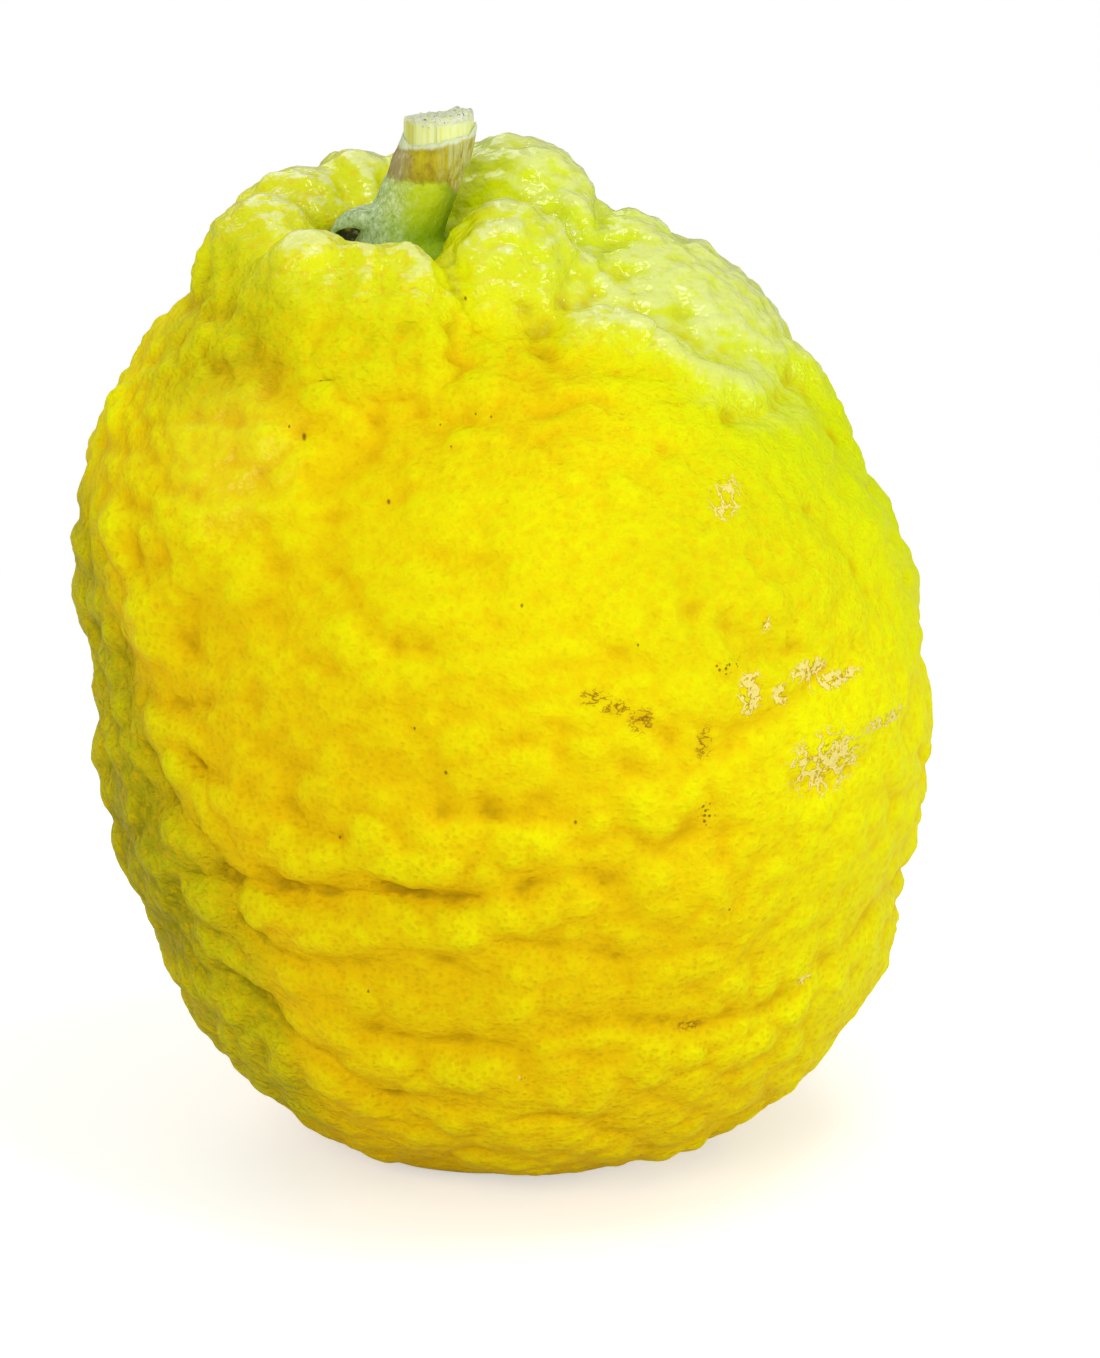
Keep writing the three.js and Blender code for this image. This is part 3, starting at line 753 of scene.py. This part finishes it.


# ripe gold low on the left to unripe green high on the right, with painted shade: gold in folds and on
# undersides, olive on the shaded left side and the steep crown faces, and a deeper green low on the left,
# and paler crests there as painted light
def paintZones(skin):
    graph = skin.graph
    finish = rindFinish
    goldAndShade = (skin.goldenSide + skin.sunk * 0.5 - skin.crown * 0.5 + skin.mottle * 0.12).ramp(0, 1)
    colour = graph.mix(goldAndShade, finish["yellow"], finish["golden"])
    # painted light: paler yellow on the crests among the painted shade of the left side
    litCrest = (skin.oliveSide * 0.6 - skin.sunk * 1.6).ramp(0.5, 1.8) * skin.oliveSide
    return graph.coats(
        colour, finish,
        (skin.crown * 0.8, "lime"),
        (skin.greenTop * (1 - goldAndShade * 0.3), "chartreuse"),
        (skin.oliveSide * (0.76 - skin.mottle * 0.34), "olive"),
        (skin.deepOlive * (0.75 - skin.mottle * 0.3), "greenCreaseShade"),
        (skin.dull * (0.16 + skin.mottle * 0.1), "olive"),
        (litCrest * 0.3, "yellow"))


# painted shade: browner or greener down in the folds and on their undersides, a darker line at the bottom of
# each crease, dark green where the skin meets the stem, and a painted shadow beside the stem's foot
def paintHollowShade(skin, colour):
    graph = skin.graph
    finish = rindFinish
    low = 1 - skin.wavyUp.ramp(88, 100)
    green = skin.oliveSide.higher(skin.wavyUp.ramp(90, 106) * 0.8)
    crease = graph.mix(green, finish["crease"], finish["greenCreaseShade"])
    # painted shade: the crease colour where a point lies deep in a fold or is turned down
    deep = (skin.sunk * (1 + skin.oliveSide)).ramp(0.15, 1.1)
    colour = graph.mix(deep * (0.25 + 0.55 * low), colour, crease)
    foot = stemMiddle(0.93 * rim) / mm
    # painted shade: dark green round the stem's foot, and a painted shadow beside it
    footShade = (graph.near(skin.point, foot, (7.5, 7, 9), 0.75, 1.25) + skin.mottle * 0.1).ramp(0.2, 1.0)
    shade = graph.near(skin.point, foot + Vector((-5, 5, -0.5)), (4.5, 6, 3.2), 0.7, 1.3)
    return graph.coats(
        colour, finish,
        (skin.hollow.ramp(0.4, 0.95) * (0.1 + 0.4 * low), "creaseShadowLine"),
        (footShade * 0.9, "footShade"),
        (shade, "shade"))


# oil glands, which are darker dots, and wider golden dimples
def paintGlands(skin, colour):
    graph = skin.graph
    finish = rindFinish
    dimple = (graph.cells(skin.shaken, finish["dimpleSpacing"], 0.9) + skin.mottle * 0.06).ramp(0.52, 0.14)
    lowSide = (64 - skin.up) / 34 - skin.across / 60 + graph.noise(skin.point, (8, 8, 8), 1.0) * 0.3
    dotted = lowSide.ramp(-0.5, 0.8).higher(skin.dotted)
    return graph.coats(
        colour, finish,
        (dimple * (0.34 - 0.24 * skin.greenTop), "golden"),
        (skin.dot * (0.06 + (0.22 + skin.mottle * 0.16) * dotted), "gland"))


# pale sheen on the high right side and on the lobes, partly a waxy film and partly painted reflection of the
# light: a thin haze where the skin faces the light, and short level dashes on the crests that are painted
# glints
def paintSheen(skin, colour):
    graph = skin.graph
    breaks = graph.noise(skin.point, (2.6, 2.6, 1.5), 1.0) * 0.24 + graph.noise(skin.point, (7, 7, 5)) * 0.16
    strands = graph.cells(graph.vector("DIVIDE", skin.shaken, (1.5, 1.5, 0.8)), 1.0).ramp(0.25, 0.7)
    thick = skin.thickBloom
    sheenHaze = (skin.facing + breaks + thick).ramp(0.65, 1.25) * skin.bloomArea * (0.12 + thick + 0.26 * strands)
    sheenHaze = sheenHaze * (0.25 + 0.75 * skin.greenTop)
    streaks = graph.noise(skin.shaken, (1.3, 1.3, 0.5), 1.0) * 0.34
    # painted glints: short pale dashes where the crests face the light
    glintDashes = (skin.facing + breaks * 0.5 + streaks + thick * 0.5).ramp(1.02, 1.14) * skin.bloomArea
    return graph.mix(sheenHaze.higher(glintDashes * (0.65 - 0.2 * skin.greenTop)), colour, rindFinish["paintedSheen"])


# a web of pale corky skin with brown edges
def paintScars(skin, colour):
    graph = skin.graph
    web = abs(graph.noise(skin.point, (2.3, 2.3, 1.9), 3.0, 0.6))
    cover = spots(skin, rindMarks["scars"], 0.3, 1.5)
    ragged = cover * skin.front * 0.34 - web
    scar = ragged.ramp(0.05, 0.11)
    edge = ragged.ramp(-0.07, 0.01) * (cover - 0.2)
    return graph.coats(colour, rindFinish, (edge, "scarEdge"), (scar, "scar")), scar


def paintRussets(skin, colour):
    graph = skin.graph
    rust = spots(skin, rindMarks["russets"], 0.2, 1.5) * skin.front
    marked = rust * 0.22 - abs(graph.noise(skin.point, (1.5, 1.5, 0.9), 3.0, 0.6))
    return graph.coats(
        colour, rindFinish,
        (rust * 0.3, "crease"),
        (marked.ramp(-0.03, 0.08) * 0.85, "rust"),
        (marked.ramp(0.12, 0.2) * 0.8, "speck"))


def paintSpecks(skin, colour):
    graph = skin.graph
    single = [(place, (radius * 0.6, radius * 0.8), 1) for place, radius in rindMarks["specks"]]
    grains = graph.cells(skin.point, 0.62).ramp(0.42, 0.26)
    pepper = spots(skin, rindMarks["peppers"], 0.5, 1.3).ramp(0.2, 0.6) * grains
    dark = spots(skin, single, 0.4, 1.3).higher(pepper)
    return graph.mix(dark * skin.front * 0.85, colour, rindFinish["speck"])


# gland pits, pebbles and a fine grain; waxy skin keeps fewer of them, and ripples gently
def rindNormal(skin):
    graph = skin.graph
    grain = graph.noise(skin.point, (1.1, 1.1, 0.8), 1.0, 0.6) * (0.12 + skin.oliveSide * 0.14)
    bare = skin.dot * -rindFinish["glandDepth"] - skin.pebble * 0.12 + grain
    ripples = graph.noise(skin.point, (2.2, 2.2, 1.3), 1.0) * skin.wax * 0.13
    return graph.bump(bare * (1 - skin.wax * 0.6) + ripples)


def rindMaterial():
    finish = rindFinish
    material, graph, point = startMaterial("rind")
    skin = readSkin(graph, point)
    colour = paintZones(skin)
    colour = paintHollowShade(skin, colour)
    colour = paintGlands(skin, colour)
    colour = paintSheen(skin, colour)
    colour, scar = paintScars(skin, colour)
    colour = paintRussets(skin, colour)
    colour = paintSpecks(skin, colour)
    shared = {"Base Color": colour, "Normal": rindNormal(skin), "Subsurface Weight": 0.12,
              "Subsurface Radius": (1.0, 0.6, 0.1), "Subsurface Scale": 0.004}
    matt = graph.add("ShaderNodeBsdfPrincipled", None,
                     {"Roughness": finish["roughness"] + scar * 0.25, "Specular IOR Level": 0.012,
                      "Specular Tint": finish["gloss"], **shared})
    waxy = graph.add("ShaderNodeBsdfPrincipled", None,
                     {"Roughness": finish["waxRoughness"], "Specular IOR Level": 0.44, **shared})
    both = graph.add("ShaderNodeMixShader", None, {0: skin.wax, 1: matt, 2: waxy})
    graph.add("ShaderNodeOutputMaterial", None, {"Surface": both})
    return material


paintWith(fruit, rindMaterial())
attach(fruit, "root")
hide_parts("fruit")
print("fruit finished")


# a solid stalk drawn up along the lean of the stem, through rings of a height and a radius
def growStalk(name, rings, segments):
    bpy.ops.object.select_all(action="DESELECT")
    height, radius = rings[0]
    bpy.ops.mesh.primitive_circle_add(
        vertices=segments, radius=radius * mm, location=stemMiddle(height), fill_type="NGON")
    stalk = bpy.context.object
    stalk.name = name
    bpy.ops.object.transform_apply(location=True, rotation=True, scale=True)
    bpy.ops.object.mode_set(mode="EDIT")
    bpy.ops.mesh.select_all(action="SELECT")
    for nextHeight, nextRadius in rings[1:]:
        step = stemMiddle(nextHeight) - stemMiddle(height)
        bpy.ops.mesh.extrude_region_move(TRANSFORM_OT_translate={"value": step})
        spread = nextRadius / radius
        bpy.ops.transform.resize(value=(spread, spread, 1), center_override=stemMiddle(nextHeight))
        height, radius = nextHeight, nextRadius
    bpy.ops.mesh.select_all(action="SELECT")
    bpy.ops.mesh.normals_make_consistent(inside=False)
    bpy.ops.mesh.select_all(action="DESELECT")
    return stalk


# pulls each sepal out of its band of faces, step by step
def growSepals(calyx):
    shape = calyxShape
    bpy.ops.mesh.select_mode(type="FACE")
    for bearing, *band in shape["sepals"]:
        low, high = [calyxLow.z + share * calyxTall for share in band]
        turn = math.radians(bearing)
        outward = Vector((math.cos(turn), math.sin(turn), 0))
        bpy.ops.mesh.select_all(action="DESELECT")
        edited = bmesh.from_edit_mesh(calyx.data)
        for face in edited.faces:
            middle = face.calc_center_median()
            arm = (middle - stemMiddle(middle.z)).to_2d()
            spread = math.degrees(arm.angle(outward.to_2d())) if arm.length > 0 else 180
            face.select_set(low < middle.z < high and spread < shape["halfSpread"])
        for out, rise, narrower, thinner in shape["sepalSteps"]:
            bpy.ops.mesh.extrude_region_move(
                TRANSFORM_OT_translate={"value": outward * out * mm + Vector((0, 0, rise * mm))})
            edited = bmesh.from_edit_mesh(calyx.data)
            corners = [v.co for v in edited.verts if v.select]
            middle = sum(corners, Vector()) / len(corners)
            bpy.ops.transform.resize(value=(narrower, narrower, thinner), center_override=middle)


def fuzzCalyx(graph, point, normal):
    rise = graph.noise(point, (2.4, 2.4, 3.4), 1.0) * 0.12 + graph.noise(point, (0.9, 0.9, 0.9)) * 0.05
    return graph.vector("SCALE", normal, scale=rise), {}


def makeCalyx():
    rings = [(calyxLow.z + share * calyxTall, radius) for share, radius in calyxShape["rings"]]
    calyx = growStalk("calyx_green", rings, calyxShape["segments"])
    growSepals(calyx)
    bpy.ops.object.mode_set(mode="OBJECT")
    applyModifier(calyx, "SUBSURF", levels=2, render_levels=2)
    moveByNodes(calyx, "calyxFuzz", fuzzCalyx)
    bpy.ops.object.shade_smooth()
    return calyx


# how far up the stem a point is, as a share of its height
def upStem(height):
    return (height - stemLow.z / mm) / (stemTall / mm)


# moves a torn end up and down, and the side of a stem in and out
def tear(graph, normal, lift, dents):
    raised = graph.add("ShaderNodeCombineXYZ", None, {2: lift})
    return graph.vector("ADD", raised, graph.vector("SCALE", normal, scale=dents)), {}


# a fibrous cut end: the top is ragged and slopes, and fibres run up the side
def raggedWood(graph, point, normal):
    x, y, z = [graph.part(point, letter) for letter in "XYZ"]
    middle = stemMiddle(stemHigh.z) / mm
    top = upStem(z).ramp(0.72, 1.0)
    slope = (x - middle.x) * 0.12 - (y - middle.y) * 0.15 - 0.3
    ragged = graph.noise(point, (1.7, 1.7, 6), 1.0) * 0.34 + graph.noise(point, (0.55, 0.55, 2)) * 0.3
    fibres = graph.noise(point, (0.7, 0.7, 7), 1.0) * 0.1
    return tear(graph, normal, (slope + ragged) * top, fibres * (1 - top))


# a sleeve torn round its top, which climbs to the right and has a tongue at each side
def raggedBark(graph, point, normal):
    top = upStem(graph.part(point, "Z")).ramp(0.25, 0.6)
    side = graph.part(point, "X") - stemMiddle(stemHigh.z).x / mm
    tongues = (-3.4 - side).ramp(0, 0.9) * 0.7 + (side - 3.6).ramp(0, 0.8) * 0.8
    ragged = graph.noise(point, (1.5, 1.5, 9), 1.0) * 0.28
    fibres = graph.noise(point, (0.6, 0.6, 8), 1.0) * 0.12
    return tear(graph, normal, (side * stemShape["barkSlope"] + tongues + ragged) * top, fibres)


def makeStemPart(name, rings, radius, build):
    levels = [(stemLow.z + share * stemTall, radius + more) for share, more in rings]
    part = growStalk(name, levels, stemShape["segments"])
    bpy.ops.object.mode_set(mode="OBJECT")
    moveByNodes(part, name, build)
    bpy.ops.object.shade_smooth()
    return part


stalkFinish = {
    "green": (0.52, 0.62, 0.004, 1),
    "lowGreen": (0.33, 0.50, 0.004, 1),
    "shadedGreen": (0.13, 0.24, 0.006, 1),
    "velvet": (0.50, 0.63, 0.22, 1),
    "lowVelvet": (0.33, 0.47, 0.14, 1),
    "greyGreen": (0.40, 0.52, 0.36, 1),
    "frostSparkle": (0.78, 0.88, 0.58, 1),
    "frostGap": (0.16, 0.30, 0.03, 1),
    "bark": (0.58, 0.50, 0.010, 1),
    "brownBark": (0.34, 0.23, 0.010, 1),
    "greyBark": (0.38, 0.31, 0.14, 1),
    "greyStreak": (0.64, 0.60, 0.42, 1),
    "greenStreak": (0.58, 0.60, 0.24, 1),
    "paleStreak": (0.66, 0.64, 0.24, 1),
    "barkGrit": (0.12, 0.08, 0.01, 1),
    "lip": (0.74, 0.82, 0.54, 1),
    "lipGrit": (0.48, 0.52, 0.20, 1),
    "tornEdge": (0.30, 0.22, 0.012, 1),
}


# green and frosted on the left, with pale specks that are partly painted sparkle, bright in the middle, and
# darker on the right as painted shade
def stalkGreen(graph, point, side, up, frostSparkle):
    finish = stalkFinish
    drift = graph.noise(point, (2.2, 2.2, 3.0), 2.0)
    low = (calyxLow.z / mm + 4.2 - up + drift * 0.6).ramp(-2.4, 2.0)
    green = graph.mix(low, finish["green"], finish["lowGreen"])
    # painted shade: darker green on the right side of the stalk
    green = graph.mix((side - 1.0).ramp(0, 3.4) * 0.8, green, finish["shadedGreen"])
    velvet = ((-2.0 - side) / 2.8 + drift * 0.35 + frostSparkle * 0.4).ramp(-0.5, 1.0)
    pale = graph.mix(low * 0.8, finish["velvet"], finish["lowVelvet"])
    # painted highlight: pale specks that sparkle over the frost on the left
    sparkle = frostSparkle.ramp(0.0, 0.5) * (velvet * 0.8 + 0.1) * (1 - low * 0.5)
    return graph.coats(
        graph.mix(velvet * 0.85, green, pale), finish,
        ((-3.6 - side).ramp(0, 3.0) * 0.55, "greyGreen"),
        (sparkle * 0.8, "frostSparkle"),
        (frostSparkle.ramp(-0.05, -0.5) * (0.2 + velvet * 0.5), "frostGap"))


# streaky bark, greyer on the left and paler on the right, with a pale cut lip that climbs to the right
def stalkBark(graph, side, up, streaks, mottle, grit):
    finish = stalkFinish
    bark = graph.mix((mottle + grit * 0.4).ramp(-0.8, 0.9), finish["bark"], finish["brownBark"])
    left = (-1.9 - side + mottle * 0.5).ramp(-1.0, 1.4)
    right = (side - 1.8).ramp(-0.8, 1.4)
    lipHeight = (stemLow.z + stemShape["lip"] * stemTall) / mm + side * stemShape["barkSlope"]
    lip = (up - lipHeight + mottle * 0.3).ramp(-0.2, 0.3)
    return graph.coats(
        bark, finish,
        (left * 0.85, "greyBark"),
        (left * streaks.ramp(0.0, 0.6) * 0.75, "greyStreak"),
        (right * streaks.ramp(-0.4, 0.3) * 0.85, "greenStreak"),
        (streaks.ramp(0.5, 1.1) * 0.6, "paleStreak"),
        (grit.ramp(0.6, 1.0) * 0.5, "barkGrit"),
        (lip * 0.9, "lip"),
        (lip * grit.ramp(0.2, 0.7) * 0.5, "lipGrit"))


# the green stalk below a torn line, and the bark above it
def finishStalk(graph, point):
    up = graph.part(point, "Z")
    side = graph.part(point, "X") - stemMiddle(stemLow.z).x / mm
    frostSparkle = graph.noise(point, (0.6, 0.6, 0.8), 3.0, 0.7)
    streaks = graph.noise(point, (0.5, 0.5, 7), 3.0, 0.6)
    mottle = graph.noise(point, (1.3, 1.3, 1.6), 3.0, 0.6)
    grit = graph.noise(point, (0.6, 0.6, 0.9), 3.0, 0.65)
    torn = up - stemLow.z / mm - 0.1 + mottle * 0.5 + streaks * 0.4 + (side - 2.2).ramp(0, 2.0) * 2.4
    bark = stalkBark(graph, side, up, streaks, mottle, grit)
    bark = graph.mix(torn.ramp(1.2, 0.2) * 0.45, bark, stalkFinish["tornEdge"])
    colour = graph.mix(torn.ramp(-0.6, 0.5), stalkGreen(graph, point, side, up, frostSparkle), bark)
    relief = frostSparkle * 0.07 * torn.ramp(0.2, -0.2) + (streaks * 0.12 + grit * 0.05) * torn.ramp(-0.2, 0.2)
    return {"Base Color": colour, "Roughness": 0.6, "Normal": graph.bump(relief), "Subsurface Weight": 0.06,
            "Subsurface Radius": (0.8, 1.0, 0.2), "Subsurface Scale": 0.001, "Specular IOR Level": 0.2}


woodFinish = {
    "pale": (0.84, 0.90, 0.42, 1),
    "yellow": (0.78, 0.80, 0.12, 1),
    "strip": (0.62, 0.58, 0.03, 1),
    "crack": (0.56, 0.56, 0.08, 1),
    "cutTop": (0.84, 0.88, 0.66, 1),
    "crumb": (0.10, 0.10, 0.05, 1),
}


# streaky pale wood with a brown strip, a crack and a crumbly cut top
def finishWood(graph, point):
    finish = woodFinish
    side = graph.part(point, "X") - stemMiddle(stemHigh.z).x / mm
    streaks = graph.noise(point, (0.6, 0.6, 9), 3.0, 0.6)
    crumbs = graph.noise(point, (0.5, 0.5, 0.5), 3.0, 0.6)
    colour = graph.mix(streaks.ramp(-0.4, 1.0), finish["pale"], finish["yellow"])
    crack = abs(side + 0.3 + streaks * 0.15).ramp(0.22, 0.05)
    top = (graph.part(point, "Z") - stemHigh.z / mm + 1.3 + crumbs * 0.3).ramp(0, 0.8)
    colour = graph.coats(
        colour, finish,
        (abs(side + 3.3).ramp(0.7, 0.2) * 0.7, "strip"),
        (crack * 0.4, "crack"),
        (top * crumbs.ramp(-0.6, 0.2), "cutTop"),
        (top * crumbs.ramp(0.3, 0.6) * 0.9, "crumb"))
    relief = streaks * 0.08 + crumbs * top * 0.2 - crack * 0.12
    return {"Base Color": colour, "Roughness": 0.6, "Normal": graph.bump(relief), "Subsurface Weight": 0.1,
            "Subsurface Radius": (1.0, 1.0, 0.4), "Subsurface Scale": 0.002}


# a material whose finish gives the shader's values from a graph and the point in mm
def plainMaterial(name, finish):
    material, graph, point = startMaterial(name)
    shader = graph.add("ShaderNodeBsdfPrincipled", None, finish(graph, point))
    graph.add("ShaderNodeOutputMaterial", None, {"Surface": shader})
    return material


calyx = makeCalyx()
paintWith(calyx, plainMaterial("calyx", finishStalk))
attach(calyx, "root")
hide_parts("calyx")
print("calyx made")

woodRadius = stemShape["woodRadius"]
barkRadius = woodRadius + stemShape["barkThickness"]
stemWood = makeStemPart("stem_wood", stemShape["woodRings"], woodRadius, raggedWood)
stemBark = makeStemPart("stem_bark", stemShape["barkRings"], barkRadius, raggedBark)
paintWith(stemWood, plainMaterial("stemWood", finishWood))
paintWith(stemBark, plainMaterial("stemBark", finishStalk))
for piece in (stemWood, stemBark):
    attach(piece, "root")
    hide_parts("stem")
print("stem made")

# places and sizes in metres, lamps in watts
studio = {
    "elevation": 17.0,
    "distance": 0.9,
    "aim": (0.0053, 0.0, 0.0581),
    "frameHeight": 0.1652,
    "sensor": 36.0,  # mm
    "lampAim": (0, 0, 0.06),
    # each lamp's place, size and power
    "lamps": {
        "sky": ((0.22, -0.2, 0.9), 0.26, 1.62),
        "front": ((-0.32, -0.85, 0.4), 0.5, 3.5),
        "side": ((0.9, -0.3, 0.15), 0.4, 3.1),
        "back": ((-0.25, 0.62, 0.62), 0.5, 1.3),
    },
    "dome": 0.44,
    "floorSize": 6,
    "floorDrop": 0.0002,
    "floorGrey": (0.8, 0.8, 0.8, 1),
    "floorGlow": 0.5,
    "floorFade": (70, 260),  # mm from the fruit over which the floor turns plain white
}


def addCamera():
    camera = bpy.data.objects.new("camera", bpy.data.cameras.new("camera"))
    bpy.context.collection.objects.link(camera)
    tilt = math.radians(studio["elevation"])
    away = Vector((0, -math.cos(tilt), math.sin(tilt))) * studio["distance"]
    camera.location = Vector(studio["aim"]) + away
    camera.rotation_euler = (math.radians(90) - tilt, 0, 0)
    camera.data.sensor_fit = "VERTICAL"
    camera.data.sensor_height = studio["sensor"]
    camera.data.lens = studio["sensor"] * studio["distance"] / studio["frameHeight"]
    bpy.context.scene.camera = camera


def addAreaLamp(name, place, size, power):
    lamp = bpy.data.objects.new(name, bpy.data.lights.new(name, "AREA"))
    bpy.context.collection.objects.link(lamp)
    lamp.location = place
    aim = Vector(studio["lampAim"]) - Vector(place)
    lamp.rotation_euler = aim.to_track_quat("-Z", "Y").to_euler()
    lamp.data.size = size
    lamp.data.energy = power


# a pale floor that keeps the shadow, and fades to plain white
def addFloor():
    bpy.ops.object.select_all(action="DESELECT")
    bpy.ops.mesh.primitive_plane_add(size=studio["floorSize"], location=(0, 0, -studio["floorDrop"]))
    floor = bpy.context.object
    floor.name = "floor"
    material, graph, point = startMaterial("floor")
    seen = graph.add("ShaderNodeLightPath", None, None, "Is Camera Ray")
    far = graph.vector("LENGTH", point, output="Value").ramp(*studio["floorFade"])
    paint = graph.add("ShaderNodeBsdfDiffuse", None, {"Color": studio["floorGrey"]})
    glow = graph.add("ShaderNodeEmission", None, {"Color": white, "Strength": seen * studio["floorGlow"]})
    lit = graph.add("ShaderNodeAddShader", None, {0: paint, 1: glow})
    plain = graph.add("ShaderNodeEmission", None, {"Color": white, "Strength": 1.0})
    both = graph.add("ShaderNodeMixShader", None, {0: far * seen, 1: lit, 2: plain})
    graph.add("ShaderNodeOutputMaterial", None, {"Surface": both})
    paintWith(floor, material)


# white where the camera sees it, and a soft even light on the fruit
def addDome():
    world = bpy.data.worlds.new("world")
    bpy.context.scene.world = world
    world.use_nodes = True
    graph = Graph(world.node_tree)
    seen = graph.add("ShaderNodeLightPath", None, None, "Is Camera Ray")
    dome = graph.add("ShaderNodeBackground", None, {"Color": white, "Strength": studio["dome"]})
    backdrop = graph.add("ShaderNodeBackground", None, {"Color": white, "Strength": 1.0})
    both = graph.add("ShaderNodeMixShader", None, {0: seen, 1: dome, 2: backdrop})
    graph.add("ShaderNodeOutputWorld", None, {"Surface": both})


addCamera()
for name, (place, size, power) in studio["lamps"].items():
    addAreaLamp(name, place, size, power)
addFloor()
addDome()
bpy.context.scene.view_settings.view_transform = "Standard"
print("studio set up")
